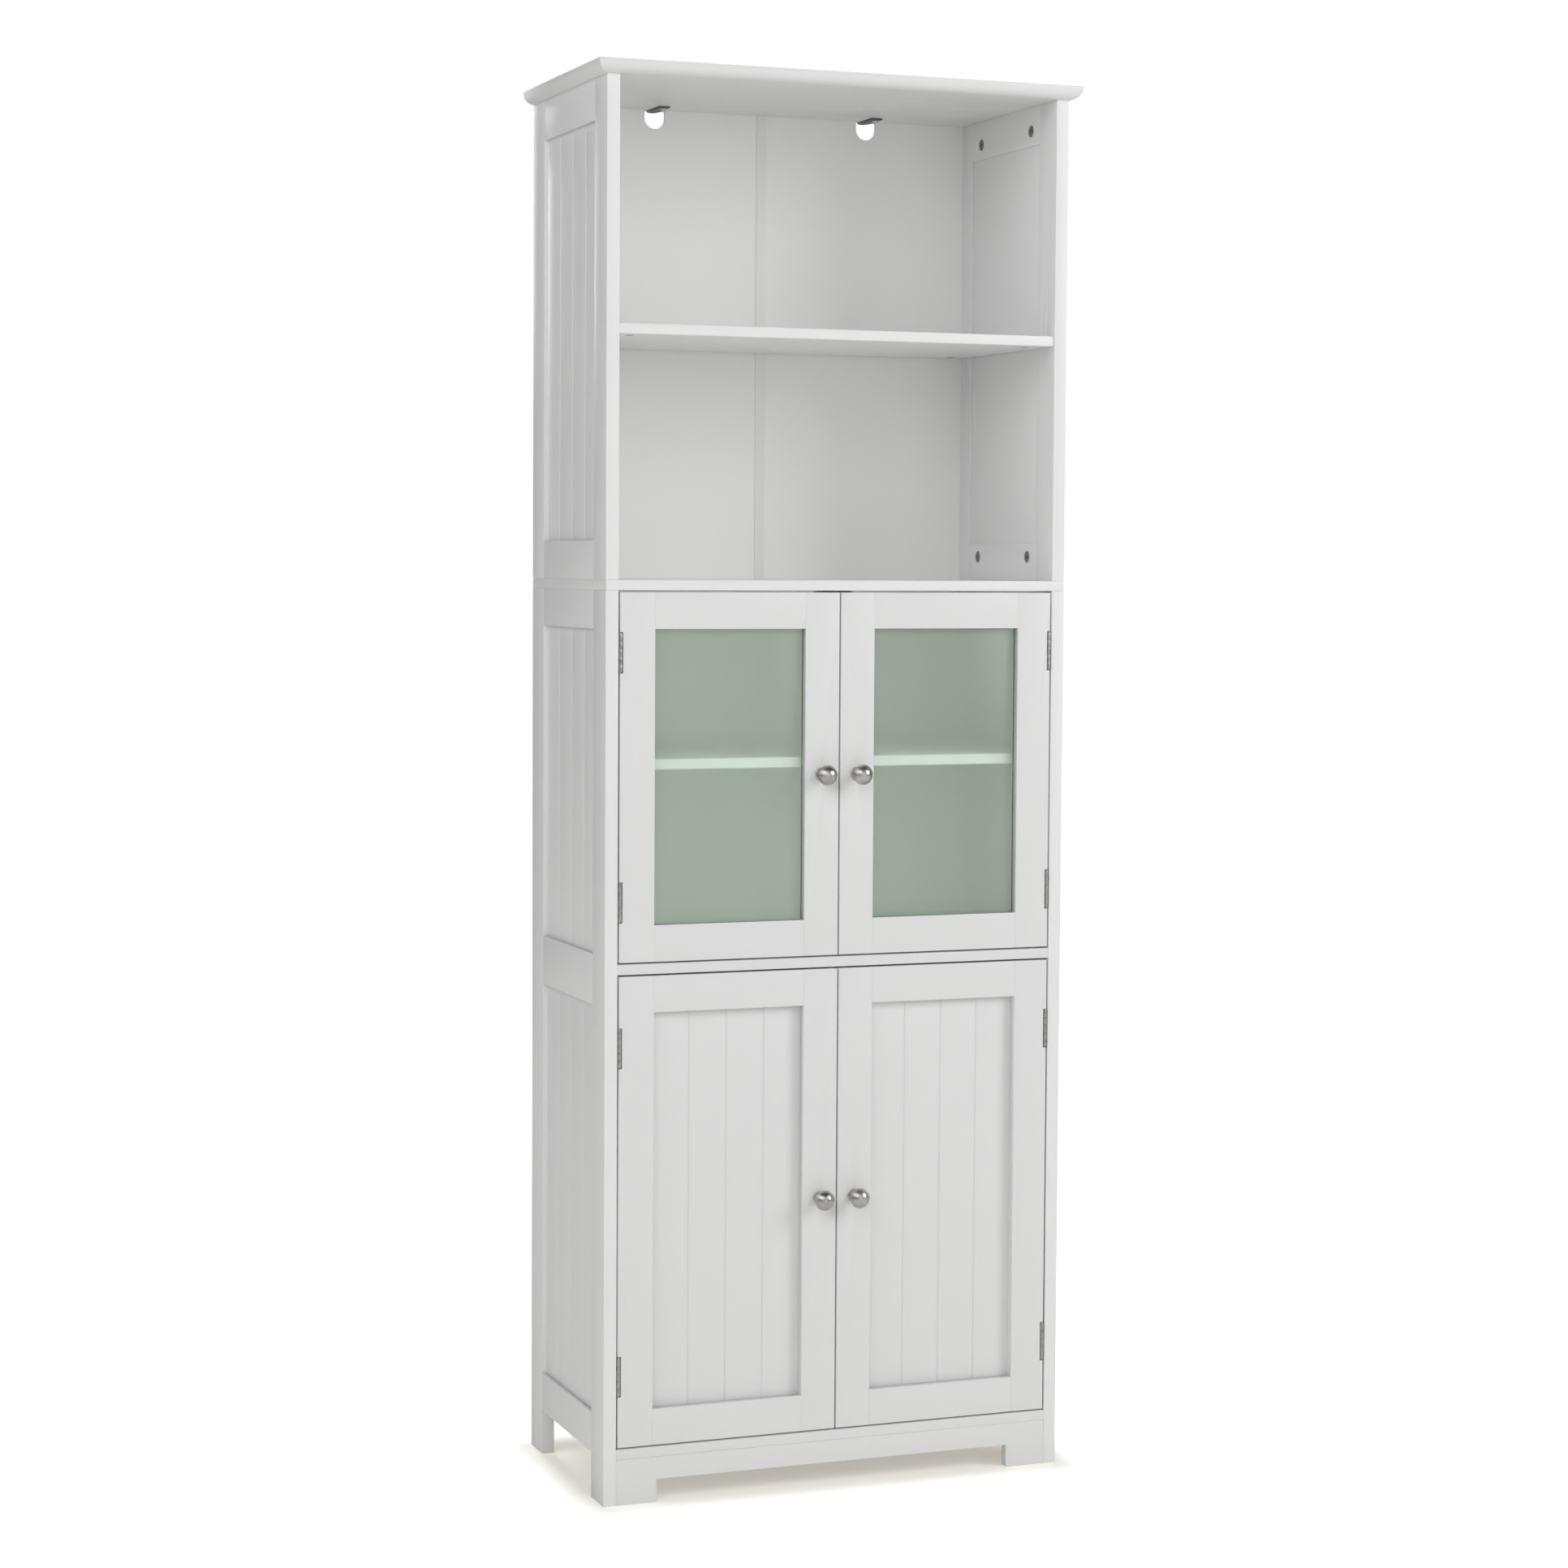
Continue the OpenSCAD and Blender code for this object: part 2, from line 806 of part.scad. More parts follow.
// Four strips behind the glass: the two upright ones run the full height
module door_beads(z, h) {
    y0 = front_y + glass_recess + glass_t;
    z0 = z + door_frame_w;
    z1 = z + h - door_frame_w;
    color("whitesmoke") {
        for (x = [stile_in_x - glass_overlap, stile_out_x])
            block(x, x + glass_overlap, y0, door_back_y, z0 - glass_overlap, z1 + glass_overlap);
        for (zb = [z0 - glass_overlap, z1])
            block(stile_in_x + 0.05, stile_out_x - 0.05, y0, door_back_y, zb, zb + glass_overlap);
    }
}

module door_panel(z, h) {
    pitch = (stile_out_x - stile_in_x) / boards_per_panel;
    color("whitesmoke") difference() {
        door_panel_space(z, h);
        for (i = [1 : boards_per_panel - 1])
            v_cut(stile_in_x + i * pitch, front_y + panel_recess, z, z + h, door_groove_w);
    }
}

module door_hinge_leaves(hinges) {
    color("gray") for (h = hinges)
        difference() {
            hinge_leaf(h, door_x - leaf_t, 1);
            leaf_screw_head(door_x - leaf_t, door_x, h);
        }
}

// Flange, neck, flared back and domed head, turned about the knob's axis
module door_knob(z, h) {
    head_r = knob_d / 2;
    dome_z = flare_end + knob_rim_h;
    dome_h = knob_out - dome_z;
    dome_r = (head_r * head_r + dome_h * dome_h) / (2 * dome_h);
    color("silver") translate([-knob_x, front_y, knob_z(z, h)])
        rotate([90, 0, 0])
            difference() {
                union() {
                    cylinder(h = flange_h, r = flange_r);
                    cylinder(h = neck_end, r = neck_r);
                    translate([0, 0, neck_end])
                        cylinder(h = flare_end - neck_end, r1 = neck_r, r2 = head_r);
                    translate([0, 0, flare_end]) cylinder(h = knob_rim_h, r = head_r);
                    intersection() {
                        translate([0, 0, knob_out - dome_r]) sphere(r = dome_r);
                        translate([0, 0, dome_z]) cylinder(h = dome_h + 1, r = head_r);
                    }
                }
                translate([0, 0, -1]) cylinder(h = knob_thread_l + 1, r = knob_screw_r);
            }
}

module door_strike(z, h) {
    color("silver") difference() {
        block(-strike_x - strike_w / 2, -strike_x + strike_w / 2, door_back_y, door_back_y + strike_t,
            z + h - strike_drop - strike_h / 2, z + h - strike_drop + strike_h / 2);
        rod_y(-strike_x, door_back_y - 1, door_back_y + strike_t + 1, z + h - strike_drop, screw_r);
    }
}

module door_screws(z, h, hinges) {
    color("silver") {
        for (hz = hinges) {
            leaf_screw_head(door_x - leaf_t, door_x, hz);
            for (s = [-1, 1])
                rod_x(door_x - eps, door_x + screw_l, leaf_screw_y, hz + s * leaf_screw_dz, screw_r);
        }
        rod_y(-knob_x, front_y - knob_thread_l + 1, door_back_y + eps, knob_z(z, h), knob_screw_r);
        rod_y(-knob_x, door_back_y, door_back_y + pan_head_h, knob_z(z, h), pan_head_r);
        rod_y(-strike_x, door_back_y - strike_screw_l, door_back_y + strike_t, z + h - strike_drop,
            screw_r);
    }
}

// ---- Nodes ----

top_board();
divider_board();
middle_board();
bottom_board();
front_apron();
open_shelf();
loose_shelf(upper_shelf_z);  // upper_cupboard_shelf
loose_shelf(lower_shelf_z);  // lower_cupboard_shelf
shelf_pins();
back_sheets();
back_strips();
cam_locks();
cam_bolts();
dowels();
anti_tip_brackets();
pan_head_screws();
hinge_frame_leaves();
hinge_pins();
hinge_frame_screws();
catch_housings();
catch_magnets();

// The same for each side, mirrored to the right
for (side = ["left", "right"]) {
    upper = str("upper_", side, "_door_");
    lower = str("lower_", side, "_door_");
    on_side(side) {
        side_stiles(divider_top, top_z);
        side_stiles(0, divider_z);
        side_rails();
        side_panels();

        door_stiles(upper_door_z, upper_door_h, upper_hinges, true);
        door_rails(upper_door_z, upper_door_h, true);
        door_glass(upper_door_z, upper_door_h);
        door_beads(upper_door_z, upper_door_h);
        door_hinge_leaves(upper_hinges);
        door_knob(upper_door_z, upper_door_h);
        door_strike(upper_door_z, upper_door_h);
        door_screws(upper_door_z, upper_door_h, upper_hinges);

        door_stiles(lower_door_z, lower_door_h, lower_hinges, false);
        door_rails(lower_door_z, lower_door_h, false);
        door_panel(lower_door_z, lower_door_h);
        door_hinge_leaves(lower_hinges);
        door_knob(lower_door_z, lower_door_h);
        door_strike(lower_door_z, lower_door_h);
        door_screws(lower_door_z, lower_door_h, lower_hinges);
    }
}
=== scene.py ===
import json
import math

import bmesh
import bpy
from mathutils import Matrix, Vector

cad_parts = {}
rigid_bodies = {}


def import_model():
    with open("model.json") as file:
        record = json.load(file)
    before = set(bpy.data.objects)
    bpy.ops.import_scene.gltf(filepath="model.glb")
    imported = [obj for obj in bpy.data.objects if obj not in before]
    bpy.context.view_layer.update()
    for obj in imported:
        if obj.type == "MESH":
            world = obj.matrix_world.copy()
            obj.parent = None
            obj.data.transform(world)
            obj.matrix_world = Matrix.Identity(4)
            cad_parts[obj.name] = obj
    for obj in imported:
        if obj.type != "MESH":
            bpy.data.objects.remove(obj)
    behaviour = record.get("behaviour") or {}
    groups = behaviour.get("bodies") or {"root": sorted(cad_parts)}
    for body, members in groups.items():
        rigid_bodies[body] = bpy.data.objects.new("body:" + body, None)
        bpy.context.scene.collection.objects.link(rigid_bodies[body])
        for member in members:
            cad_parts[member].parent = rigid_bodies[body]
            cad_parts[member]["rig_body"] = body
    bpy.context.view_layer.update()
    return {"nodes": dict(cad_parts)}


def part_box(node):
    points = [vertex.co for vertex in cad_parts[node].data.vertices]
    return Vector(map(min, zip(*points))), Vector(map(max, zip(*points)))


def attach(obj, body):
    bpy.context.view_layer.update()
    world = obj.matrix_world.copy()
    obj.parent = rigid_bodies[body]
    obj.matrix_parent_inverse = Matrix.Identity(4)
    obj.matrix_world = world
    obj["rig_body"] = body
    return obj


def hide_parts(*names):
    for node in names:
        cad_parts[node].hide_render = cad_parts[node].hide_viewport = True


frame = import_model()


# ---- Side frames ----
# Each side is an upper and a lower frame of solid stiles and rails round grooved panels,
# glued up and sanded until the arrises are just soft, then sprayed with satin white
# lacquer. The lower stiles run on down to the floor as the feet.

COLOR, NUMBER, PLACE = "NodeSocketColor", "NodeSocketFloat", "NodeSocketVector"
sides = ("left", "right")


def wired(tree, kind, inputs, output=0, **settings):
    """Adds a node, sets or links its inputs, and gives one of its outputs."""
    made = tree.nodes.new(kind)
    for name, value in settings.items():
        setattr(made, name, value)
    for name, value in inputs.items():
        if isinstance(value, bpy.types.NodeSocket):
            tree.links.new(value, made.inputs[name])
        else:
            made.inputs[name].default_value = value
    return made.outputs[output]


def effect_group(name, inputs, outputs):
    """A node group with named sockets, and the nodes that take its inputs and give its outputs."""
    group = bpy.data.node_groups.new(name, "ShaderNodeTree")
    for socket, (kind, value) in inputs.items():
        made = group.interface.new_socket(socket, in_out="INPUT", socket_type=kind)
        made.default_value = value
    for socket, kind in outputs.items():
        group.interface.new_socket(socket, in_out="OUTPUT", socket_type=kind)
    return group, group.nodes.new("NodeGroupInput").outputs, group.nodes.new("NodeGroupOutput").inputs


# The skin that sprayed and moulded surfaces share: fine orange peel, a slow drift of tone
# from one pass of the gun to the next, and a gloss that varies a little with it.
coating_skin, asked, given = effect_group(
    "coating_skin",
    {"Tint": (COLOR, (0.8, 0.8, 0.8, 1)), "Drift": (NUMBER, 0.03), "Roughness": (NUMBER, 0.4),
     "Gloss Spread": (NUMBER, 0.08), "Peel Size": (NUMBER, 0.002)},
    {"Color": COLOR, "Roughness": NUMBER, "Height": NUMBER},
)
place = wired(coating_skin, "ShaderNodeTexCoord", {}, "Object")
peel_scale = wired(coating_skin, "ShaderNodeMath", {0: 1.0, 1: asked["Peel Size"]}, operation="DIVIDE")
peel = wired(coating_skin, "ShaderNodeTexNoise", {"Vector": place, "Scale": peel_scale, "Detail": 1.5})
passes = wired(coating_skin, "ShaderNodeTexNoise", {"Vector": place, "Scale": 6.0, "Detail": 2.0})
centred = wired(coating_skin, "ShaderNodeMath", {0: passes, 1: 0.5}, operation="SUBTRACT")
tone = wired(coating_skin, "ShaderNodeMath",
             {0: centred, 1: asked["Drift"], 2: 1.0}, operation="MULTIPLY_ADD")
toned = wired(coating_skin, "ShaderNodeHueSaturation", {"Value": tone, "Color": asked["Tint"]})
gloss = wired(coating_skin, "ShaderNodeMath",
              {0: centred, 1: asked["Gloss Spread"], 2: asked["Roughness"]}, operation="MULTIPLY_ADD")
for socket, value in (("Color", toned), ("Roughness", gloss), ("Height", peel)):
    coating_skin.links.new(value, given[socket])


def skinned(name, group, values, depth):
    """A material whose colour, roughness and fine relief come from one of the skins."""
    material = bpy.data.materials.new(name)
    material.use_nodes = True
    tree = material.node_tree
    shader = tree.nodes["Principled BSDF"]
    skin = tree.nodes.new("ShaderNodeGroup")
    skin.name = "skin"
    skin.node_tree = group
    for socket, value in values.items():
        skin.inputs[socket].default_value = value
    relief = wired(tree, "ShaderNodeBump", {"Height": skin.outputs["Height"], "Distance": depth})
    tree.links.new(skin.outputs["Color"], shader.inputs["Base Color"])
    tree.links.new(skin.outputs["Roughness"], shader.inputs["Roughness"])
    tree.links.new(relief, shader.inputs["Normal"])
    return material


white_lacquer = skinned(
    "white_lacquer", coating_skin,
    {"Tint": (0.87, 0.87, 0.87, 1), "Roughness": 0.42, "Peel Size": 0.0022}, 0.00001)


def finished(piece, node, material):
    """Gives a piece its material and body, and lets it stand for its CAD node."""
    piece.data.materials.append(material)
    bpy.context.scene.collection.objects.link(piece)
    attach(piece, frame["nodes"][node]["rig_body"])
    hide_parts(node)
    return piece


merge_gap = 1e-6
sharp_angle = math.radians(35)
flat_angle = math.radians(1)
strip_width = 0.0025  # a face narrower than this is part of a rounded edge, and shades smoothly


def eased(node, radius, material, faces_along=None):
    """The piece with its sharp edges rounded over, or only those of its two faces along an axis."""
    shape = bmesh.new()
    shape.from_mesh(frame["nodes"][node].data)
    bmesh.ops.remove_doubles(shape, verts=shape.verts, dist=merge_gap)
    bmesh.ops.dissolve_limit(shape, angle_limit=flat_angle, verts=shape.verts, edges=shape.edges)
    arrises = [e for e in shape.edges
               if len(e.link_faces) == 2 and e.is_convex and e.calc_face_angle() > sharp_angle]
    if faces_along is not None:
        reaches = [round(v.co[faces_along], 4) for v in shape.verts]
        outer = (min(reaches), max(reaches))
        arrises = [e for e in arrises if all(round(v.co[faces_along], 4) in outer for v in e.verts)]
    bmesh.ops.bevel(shape, geom=arrises, offset=radius, offset_type="OFFSET", segments=3, profile=0.5,
                    affect="EDGES", clamp_overlap=False, loop_slide=False, material=-1)
    for face in shape.faces:
        face.smooth = 2 * face.calc_area() < strip_width * face.calc_perimeter()
    mesh = bpy.data.meshes.new(node + "_finished")
    shape.to_mesh(mesh)
    shape.free()
    mesh.set_sharp_from_angle(angle=sharp_angle)
    return finished(bpy.data.objects.new(mesh.name, mesh), node, material)


joint_ease = 0.0004
for side in sides:
    for part in ("upper_side_stiles", "lower_side_stiles", "side_rails", "side_panels"):
        eased(f"{side}_{part}", joint_ease, white_lacquer, faces_along=0)


# ---- Boards and apron ----
# Flat boards with their edges banded and lacquered with the sides. The top board has a
# quarter-round lower edge along its front and both ends. It shares a greyer copy of the
# same lacquer with the lower boards, the apron and the doors: painted shade that darkens
# these front-facing parts.

arris_ease = 0.0009
# The same white lacquer, tinted darker: painted shade for the front-facing parts.
painted_shade_lacquer = skinned(
    "painted_shade_lacquer", coating_skin,
    {"Tint": (0.81, 0.81, 0.81, 1), "Roughness": 0.42, "Peel Size": 0.0022}, 0.00001)
eased("top_board", joint_ease, painted_shade_lacquer)
eased("divider_board", arris_ease, white_lacquer)
eased("open_shelf", arris_ease, white_lacquer)
eased("middle_board", arris_ease, painted_shade_lacquer)
eased("bottom_board", arris_ease, painted_shade_lacquer)
eased("front_apron", arris_ease, painted_shade_lacquer)


# ---- Dowels ----
# Plain beech pegs, cut from rod and left bare, glued half their length into each side
# of a joint. Only their ends can ever be seen, before the cabinet is put together.

wood_grain, asked, given = effect_group(
    "wood_grain",
    {"Tint": (COLOR, (0.6, 0.4, 0.2, 1)), "Pore Tint": (COLOR, (0.4, 0.2, 0.1, 1)),
     "Grain Size": (NUMBER, 0.001), "Roughness": (NUMBER, 0.6)},
    {"Color": COLOR, "Roughness": NUMBER, "Height": NUMBER},
)
place = wired(wood_grain, "ShaderNodeTexCoord", {}, "Object")
lengthwise = wired(wood_grain, "ShaderNodeMapping", {"Vector": place, "Scale": (1, 1, 0.12)})
grain_scale = wired(wood_grain, "ShaderNodeMath", {0: 1.0, 1: asked["Grain Size"]}, operation="DIVIDE")
grain = wired(wood_grain, "ShaderNodeTexNoise", {"Vector": lengthwise, "Scale": grain_scale, "Detail": 4.0})
mixed = wired(wood_grain, "ShaderNodeMix",
              {0: grain, 6: asked["Tint"], 7: asked["Pore Tint"]}, 2, data_type="RGBA")
rough = wired(wood_grain, "ShaderNodeMath",
              {0: grain, 1: 0.2, 2: asked["Roughness"]}, operation="MULTIPLY_ADD")
for socket, value in (("Color", mixed), ("Roughness", rough), ("Height", grain)):
    wood_grain.links.new(value, given[socket])

bare_beech = skinned(
    "bare_beech", wood_grain,
    {"Tint": (0.63, 0.44, 0.26, 1), "Pore Tint": (0.45, 0.28, 0.15, 1), "Grain Size": 0.0009}, 0.00008)
eased("dowels", 0.0005, bare_beech)


# ---- Cam fittings ----
# A steel bolt screwed into one board is pulled tight by a zinc drum in the next one,
# turned with a screwdriver in its cross slot. The drums sit flush in the inner faces.

# The skin of bare and plated metal: a grain drawn out along the way it was rubbed or
# rolled, cloudier patches where it was handled, and a gloss that follows both.
metal_skin, asked, given = effect_group(
    "metal_skin",
    {"Place": (PLACE, (0, 0, 0)), "Tint": (COLOR, (0.6, 0.6, 0.6, 1)), "Tone Spread": (NUMBER, 0.2),
     "Roughness": (NUMBER, 0.3), "Gloss Spread": (NUMBER, 0.15), "Cloud Size": (NUMBER, 0.01)},
    {"Color": COLOR, "Roughness": NUMBER, "Height": NUMBER},
)
grain = wired(metal_skin, "ShaderNodeTexNoise", {"Vector": asked["Place"], "Scale": 1000.0, "Detail": 3.0})
place = wired(metal_skin, "ShaderNodeTexCoord", {}, "Object")
cloud_scale = wired(metal_skin, "ShaderNodeMath", {0: 1.0, 1: asked["Cloud Size"]}, operation="DIVIDE")
clouds = wired(metal_skin, "ShaderNodeTexNoise", {"Vector": place, "Scale": cloud_scale, "Detail": 3.0})
both = wired(metal_skin, "ShaderNodeMath", {0: grain, 1: clouds}, operation="ADD")
centred = wired(metal_skin, "ShaderNodeMath", {0: both, 1: 1.0}, operation="SUBTRACT")
tone = wired(metal_skin, "ShaderNodeMath",
             {0: centred, 1: asked["Tone Spread"], 2: 1.0}, operation="MULTIPLY_ADD")
toned = wired(metal_skin, "ShaderNodeHueSaturation", {"Value": tone, "Color": asked["Tint"]})
gloss = wired(metal_skin, "ShaderNodeMath",
              {0: centred, 1: asked["Gloss Spread"], 2: asked["Roughness"]}, operation="MULTIPLY_ADD")
for socket, value in (("Color", toned), ("Roughness", gloss), ("Height", grain)):
    metal_skin.links.new(value, given[socket])


def metal(name, values, depth, rubbed=(1, 1, 1), attribute=None):
    """A metal with its grain drawn out where rubbed is small, on the piece's attribute if one is named."""
    material = skinned(name, metal_skin, values, depth)
    tree = material.node_tree
    tree.nodes["Principled BSDF"].inputs["Metallic"].default_value = 1.0
    if attribute:
        place = wired(tree, "ShaderNodeAttribute", {}, "Vector", attribute_name=attribute)
    else:
        place = wired(tree, "ShaderNodeTexCoord", {}, "Object")
    turned = wired(tree, "ShaderNodeMapping", {"Vector": place, "Scale": rubbed})
    tree.links.new(turned, tree.nodes["skin"].inputs["Place"])
    return material


zinc_plate = metal("zinc_plate", {"Tint": (0.60, 0.60, 0.59, 1), "Tone Spread": 0.5, "Roughness": 0.28,
                                  "Gloss Spread": 0.3, "Cloud Size": 0.003}, 0.00002)
eased("cam_bolts", 0.0002, zinc_plate)
cast_zinc = metal("cast_zinc", {"Tint": (0.27, 0.27, 0.265, 1), "Tone Spread": 1.2, "Roughness": 0.34,
                                "Gloss Spread": 0.5, "Cloud Size": 0.002}, 0.00005)
eased("cam_locks", 0.0004, cast_zinc)


# ---- Back sheets and their strips ----
# Thin hardboard covered in satin white foil, slid into grooves round the carcass. Where
# two sheets meet, an extruded white plastic strip of H section holds both edges.

white_foil = skinned(
    "white_foil", coating_skin,
    {"Tint": (0.92, 0.92, 0.915, 1), "Roughness": 0.5, "Peel Size": 0.0009, "Drift": 0.02}, 0.000006)
white_plastic = skinned(
    "white_plastic", coating_skin,
    {"Tint": (0.87, 0.87, 0.86, 1), "Roughness": 0.36, "Peel Size": 0.004, "Drift": 0.02}, 0.00001)
frame["nodes"]["back_sheets"].material_slots[0].material = white_foil
eased("back_strips", 0.0003, white_plastic)


# ---- Anti-tip brackets ----
# Steel strips screwed up into the top board with a pan-head screw, coloured near black:
# painted shade standing for the shadow they lie in under the top board.
# Each reaches through a hole in the back sheet and ends in an eye for the wall strap.

# Near-black colour all over the brackets: painted shade.
painted_shade_dark = skinned(
    "painted_shade_dark", coating_skin,
    {"Tint": (0.085, 0.085, 0.085, 1), "Roughness": 0.42, "Peel Size": 0.0008, "Drift": 0.3,
     "Gloss Spread": 0.2}, 0.00003)
eased("anti_tip_brackets", 0.0004, painted_shade_dark)
eased("pan_head_screws", 0.0002, zinc_plate)


# ---- Loose shelves ----
# Two plain lacquered boards with banded edges, one in each cupboard, cut to slip in between
# the side frames. Each lies loose on four plated steel pins pushed into drilled holes.

eased("upper_cupboard_shelf", arris_ease, white_lacquer)
eased("lower_cupboard_shelf", arris_ease, white_lacquer)
eased("shelf_pins", 0.0004, zinc_plate)


# ---- Magnetic catches ----
# A moulded white housing under the board over each pair of doors holds two sintered
# ferrite magnets, each with its pole face level with the front of the housing.

eased("catch_housings", 0.0006, white_plastic)
ferrite = skinned(
    "ferrite", coating_skin,
    {"Tint": (0.055, 0.055, 0.06, 1), "Roughness": 0.62, "Peel Size": 0.0004, "Drift": 0.6,
     "Gloss Spread": 0.2}, 0.00006)
eased("catch_magnets", 0.0003, ferrite)


# ---- Hinges ----
# Butt hinges pressed from satin nickel-plated steel strip, with five knuckles rolled round
# a pin with a small finial at each end. One leaf is on the frame and one on the door.

hinge_plate = metal("hinge_plate", {"Tint": (0.42, 0.42, 0.41, 1), "Tone Spread": 0.7, "Roughness": 0.34,
                                    "Gloss Spread": 0.2, "Cloud Size": 0.006}, 0.00002, rubbed=(4, 4, 0.4))
eased("hinge_frame_leaves", 0.00025, hinge_plate)
eased("hinge_pins", 0.0003, hinge_plate)
eased("hinge_frame_screws", 0.0001, zinc_plate)
doors = [f"{level}_{side}_door" for level in ("upper", "lower") for side in sides]
for door in doors:
    eased(f"{door}_hinge_leaves", 0.00025, hinge_plate)
    eased(f"{door}_screws", 0.0001, zinc_plate)


# ---- Door frames and panels ----
# Two stiles with two rails between them, the lower doors round a grooved panel. Each door
# is glued up first and sprayed as one.

# The doors take the darker copy of the lacquer: painted shade on their fronts.
for door in doors:
    eased(f"{door}_stiles", joint_ease, painted_shade_lacquer, faces_along=1)
    eased(f"{door}_rails", joint_ease, painted_shade_lacquer, faces_along=1)
for side in sides:
    eased(f"lower_{side}_door_panel", joint_ease, painted_shade_lacquer, faces_along=1)


# ---- Door glass ----
# Sage green sheet glass, faintly frosted on the back, laid in a rebate from behind and
# held by four pinned beads. Things close behind it show as pale soft shapes.

sage_glass = skinned(
    "sage_glass", coating_skin,
    {"Tint": (0.71, 0.80, 0.71, 1), "Roughness": 0.22, "Peel Size": 0.0016, "Drift": 0.05,
     "Gloss Spread": 0.1}, 0.000004)
glass_inputs = sage_glass.node_tree.nodes["Principled BSDF"].inputs
glass_inputs["Transmission Weight"].default_value = 0.8
glass_inputs["IOR"].default_value = 1.3
# The beads take the darker copy of the lacquer too: painted shade.
for side in sides:
    eased(f"upper_{side}_door_glass", 0.0003, sage_glass)
    eased(f"upper_{side}_door_beads", joint_ease, painted_shade_lacquer)


# ---- Knobs ----
# Mushroom knobs turned from solid bar, plated with nickel and brushed as they spin, so the
# grain runs in rings. A screw from inside the door goes into the threaded hole.

brushed_nickel = metal(
    "brushed_nickel",
    {"Tint": (0.50, 0.49, 0.47, 1), "Tone Spread": 0.8, "Roughness": 0.32, "Gloss Spread": 0.35,
     "Cloud Size": 0.012}, 0.00001, rubbed=(2.5, 2.5, 0.02), attribute="turning")


def arc(across, out, radius, first, last, steps):
    """Points on an arc of the profile, as distance from the axis and distance out."""
    turns = [math.radians(first + (last - first) * i / steps) for i in range(steps + 1)]
    return [(across + radius * math.cos(t), out + radius * math.sin(t)) for t in turns]


hole_r, hole_h = 0.002, 0.009
flange_r, flange_h, flange_chamfer, flange_round = 0.0085, 0.0025, 0.0004, 0.0010
neck_r, neck_fillet, flare_r, flare_out = 0.0044, 0.0022, 0.0085, 0.0098
head_h, rim_r, rim_drop = 0.0089, 0.0012, 0.0003
turning_steps = 64
for door in doors:
    low, high = (Vector(corner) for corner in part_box(f"{door}_knob"))
    head_r = (high.x - low.x) / 2
    reach = high.y - low.y
    centre = Vector(((low.x + high.x) / 2, high.y, (low.z + high.z) / 2))
    rim_out = reach - head_h
    crown_r = (head_r ** 2 + (reach - rim_out) ** 2) / (2 * (reach - rim_out))
    crown_edge = math.degrees(math.asin((crown_r - reach + rim_out) / crown_r))
    profile = [(0, hole_h), (hole_r, hole_h), (hole_r, 0), (flange_r - flange_chamfer, 0)]
    profile += arc(flange_r - flange_round, flange_h - 0.0012, flange_round, -30, 90, 5)
    profile += arc(neck_r + neck_fillet, flange_h + neck_fillet, neck_fillet, 270, 180, 5)
    profile += arc(neck_r + flare_r, flare_out, flare_r, 180, 118, 8)
    profile += arc(head_r - rim_r, rim_out - rim_drop, rim_r, -62, 40, 6)
    profile += arc(0, reach - crown_r, crown_r, crown_edge + 1.5, 90, 16)
    profile[-1] = (0, reach)
    shape = bmesh.new()
    points = [shape.verts.new((centre.x + across, centre.y - out, centre.z)) for across, out in profile]
    line = [shape.edges.new(pair) for pair in zip(points, points[1:])]
    bmesh.ops.spin(shape, geom=points + line, cent=centre, axis=(0, 1, 0), angle=2 * math.pi,
                   steps=turning_steps, use_merge=True)
    bmesh.ops.remove_doubles(shape, verts=shape.verts, dist=merge_gap)
    bmesh.ops.recalc_face_normals(shape, faces=shape.faces)
    mesh = bpy.data.meshes.new(f"{door}_knob_turned")
    turning = shape.verts.layers.float_vector.new("turning")
    for vert in shape.verts:
        offset = vert.co - centre
        round_it = math.atan2(abs(offset.z), offset.x) * head_r
        vert[turning] = (math.hypot(offset.x, offset.z), offset.y, round_it)
    for face in shape.faces:
        face.smooth = True
    shape.to_mesh(mesh)
    shape.free()
    mesh.set_sharp_from_angle(angle=math.radians(50))
    finished(bpy.data.objects.new(mesh.name, mesh), f"{door}_knob", brushed_nickel)
    eased(f"{door}_strike", 0.0002, zinc_plate)


# ---- Floor ----
# A sheet of warm white paper under the cabinet. It gives off light of its own, which brings
# it to pure white away from the feet; close round them the glow is made dimmer and warmer,
# a painted shadow.

shape = bmesh.new()
bmesh.ops.create_grid(shape, x_segments=4, y_segments=4, size=14)
mesh = bpy.data.meshes.new("paper_sweep")
shape.to_mesh(mesh)
shape.free()
paper_sweep = bpy.data.objects.new("paper_sweep", mesh)
bpy.context.scene.collection.objects.link(paper_sweep)
paper = bpy.data.materials.new("paper")
paper.use_nodes = True
tree = paper.node_tree
shader = tree.nodes["Principled BSDF"]
shader.inputs["Roughness"].default_value = 0.85
place = wired(tree, "ShaderNodeTexCoord", {}, "Object")
fibre = wired(tree, "ShaderNodeTexNoise", {"Vector": place, "Scale": 300.0, "Detail": 3.0})
paper_tone = wired(tree, "ShaderNodeMix",
                   {0: fibre, 6: (0.885, 0.88, 0.865, 1), 7: (0.91, 0.905, 0.89, 1)}, 2, data_type="RGBA")
tree.links.new(paper_tone, shader.inputs["Base Color"])
feet_corner = (0.29, 0.14, 0.0)
past_feet = wired(tree, "ShaderNodeVectorMath", {0: place}, operation="ABSOLUTE")
past_feet = wired(tree, "ShaderNodeVectorMath", {0: past_feet, 1: feet_corner}, operation="SUBTRACT")
past_feet = wired(tree, "ShaderNodeVectorMath", {0: past_feet, 1: (0, 0, 0)}, operation="MAXIMUM")
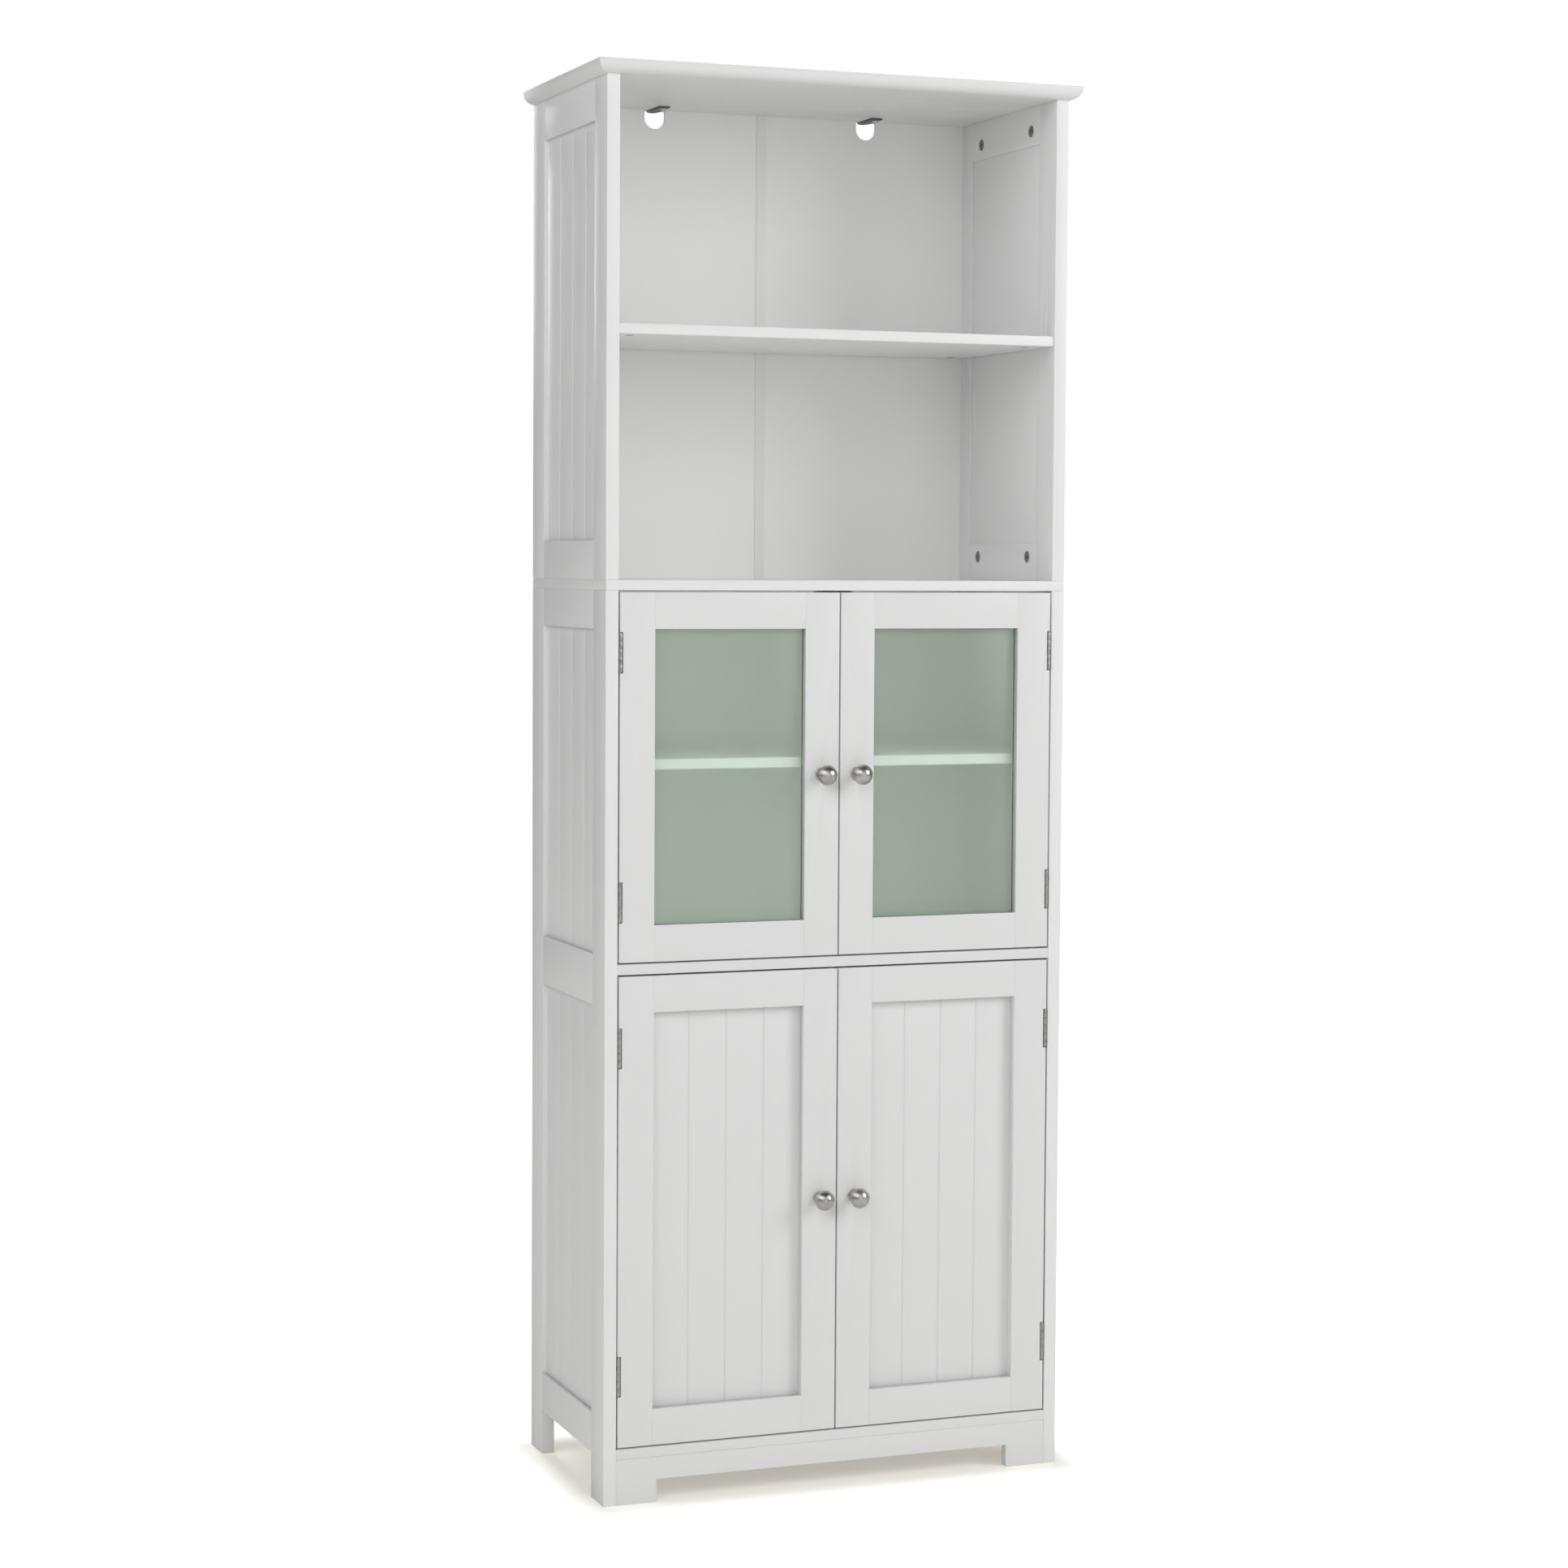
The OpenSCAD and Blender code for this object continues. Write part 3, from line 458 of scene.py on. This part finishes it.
past_feet = wired(tree, "ShaderNodeVectorMath", {0: past_feet}, "Value", operation="LENGTH")
# Painted shadow: the glow rises from dim and warm at the feet to white further out.
painted_shadow_fade = wired(tree, "ShaderNodeMapRange", {"Value": past_feet, "From Min": -0.02, "From Max": 0.11},
             interpolation_type="SMOOTHERSTEP")
glow_and_painted_shadow = wired(tree, "ShaderNodeMix",
                  {0: painted_shadow_fade, 6: (0.28, 0.262, 0.22, 1), 7: (0.98, 0.98, 0.98, 1)}, 2, data_type="RGBA")
tree.links.new(glow_and_painted_shadow, shader.inputs["Emission Color"])
seen = wired(tree, "ShaderNodeLightPath", {}, "Is Camera Ray")
strength = wired(tree, "ShaderNodeMapRange", {"Value": seen, "To Min": 0.2, "To Max": 1.0})
tree.links.new(strength, shader.inputs["Emission Strength"])
mesh.materials.append(paper)


# ---- Light ----
# A large soft box in front to the right, two broad fills from the left, two weak ones in
# front and one behind, in a pale studio.

scene = bpy.context.scene
scene.view_settings.view_transform = "Standard"
studio = bpy.data.worlds.new("studio")
scene.world = studio
studio.use_nodes = True
tree = studio.node_tree
room = wired(tree, "ShaderNodeBackground", {"Color": (1, 1, 1, 1), "Strength": 0.08})
backdrop = wired(tree, "ShaderNodeBackground", {"Color": (1, 1, 1, 1), "Strength": 1.0})
seen = wired(tree, "ShaderNodeLightPath", {}, "Is Camera Ray")
studio_light = wired(tree, "ShaderNodeMixShader", {0: seen, 1: room, 2: backdrop})
tree.links.new(studio_light, tree.nodes["World Output"].inputs["Surface"])


def area_lamp(name, size, power, location, away):
    """A flat lamp that shines against the direction away."""
    data = bpy.data.lights.new(name, "AREA")
    data.shape = "RECTANGLE"
    data.size, data.size_y = size
    data.energy = power
    lamp = bpy.data.objects.new(name, data)
    lamp.location = location
    lamp.rotation_euler = away.to_track_quat("Z", "Y").to_euler()
    scene.collection.objects.link(lamp)
    return lamp


lit_point = Vector((0, 0, 0.9))
lamp_distance = 5


def soft_box(name, azimuth, elevation, size, power):
    """A soft box aimed at the cabinet: azimuth 0 is in front, 90 on its right."""
    turn, rise = math.radians(azimuth), math.radians(elevation)
    away = Vector((math.sin(turn) * math.cos(rise), -math.cos(turn) * math.cos(rise), math.sin(rise)))
    area_lamp(name, size, power, lit_point + away * lamp_distance, away)


soft_box("key", 48, 20, (2.5, 2.5), 94)
soft_box("left_fill", -40, 28, (3, 3), 58)
soft_box("side_fill", -80, 30, (3, 3), 46)
soft_box("front_fill", 0, 20, (3, 3), 20)
soft_box("low_front_fill", 0, 0, (3, 2), 13)
soft_box("back_fill", 180, 20, (0.6, 2), 60)

# The frosted glass spreads this light through the cupboard behind it, so a lamp of the
# pane's own size lies unseen just behind each pane, and swings with its door.
for side in sides:
    low, high = (Vector(corner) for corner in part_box(f"upper_{side}_door_glass"))
    behind_pane = Vector(((low.x + high.x) / 2, high.y + 0.002, (low.z + high.z) / 2))
    lamp = area_lamp(f"{side}_pane_light", (high.x - low.x, high.z - low.z), 0.21, behind_pane,
                     Vector((0, -1, 0)))
    lamp.visible_camera = lamp.visible_glossy = lamp.visible_transmission = False
    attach(lamp, frame["nodes"][f"upper_{side}_door_glass"]["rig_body"])


# ---- Camera ----
# At chest height, in front of the cabinet and off to its left, looking slightly down, with
# the lens shifted a little to frame the view.

camera_data = bpy.data.cameras.new("camera")
camera = bpy.data.objects.new("camera", camera_data)
scene.collection.objects.link(camera)
scene.camera = camera
camera_data.sensor_width = 36.0
camera_data.lens = 75.67
camera_data.shift_x = 0.0183
camera_data.shift_y = -0.029
turn, tilt, roll = (math.radians(angle) for angle in (20.582, -3.078, 0.313))
ahead = Vector((math.sin(turn) * math.cos(tilt), math.cos(turn) * math.cos(tilt), math.sin(tilt)))
across = Vector((math.cos(turn), -math.sin(turn), 0.0))
rolled = Matrix.Rotation(-roll, 3, ahead)
axes = Matrix((rolled @ across, rolled @ across.cross(ahead), -ahead)).transposed().to_4x4()
camera.matrix_world = Matrix.Translation((-1.5065, -3.8545, 1.1364)) @ axes
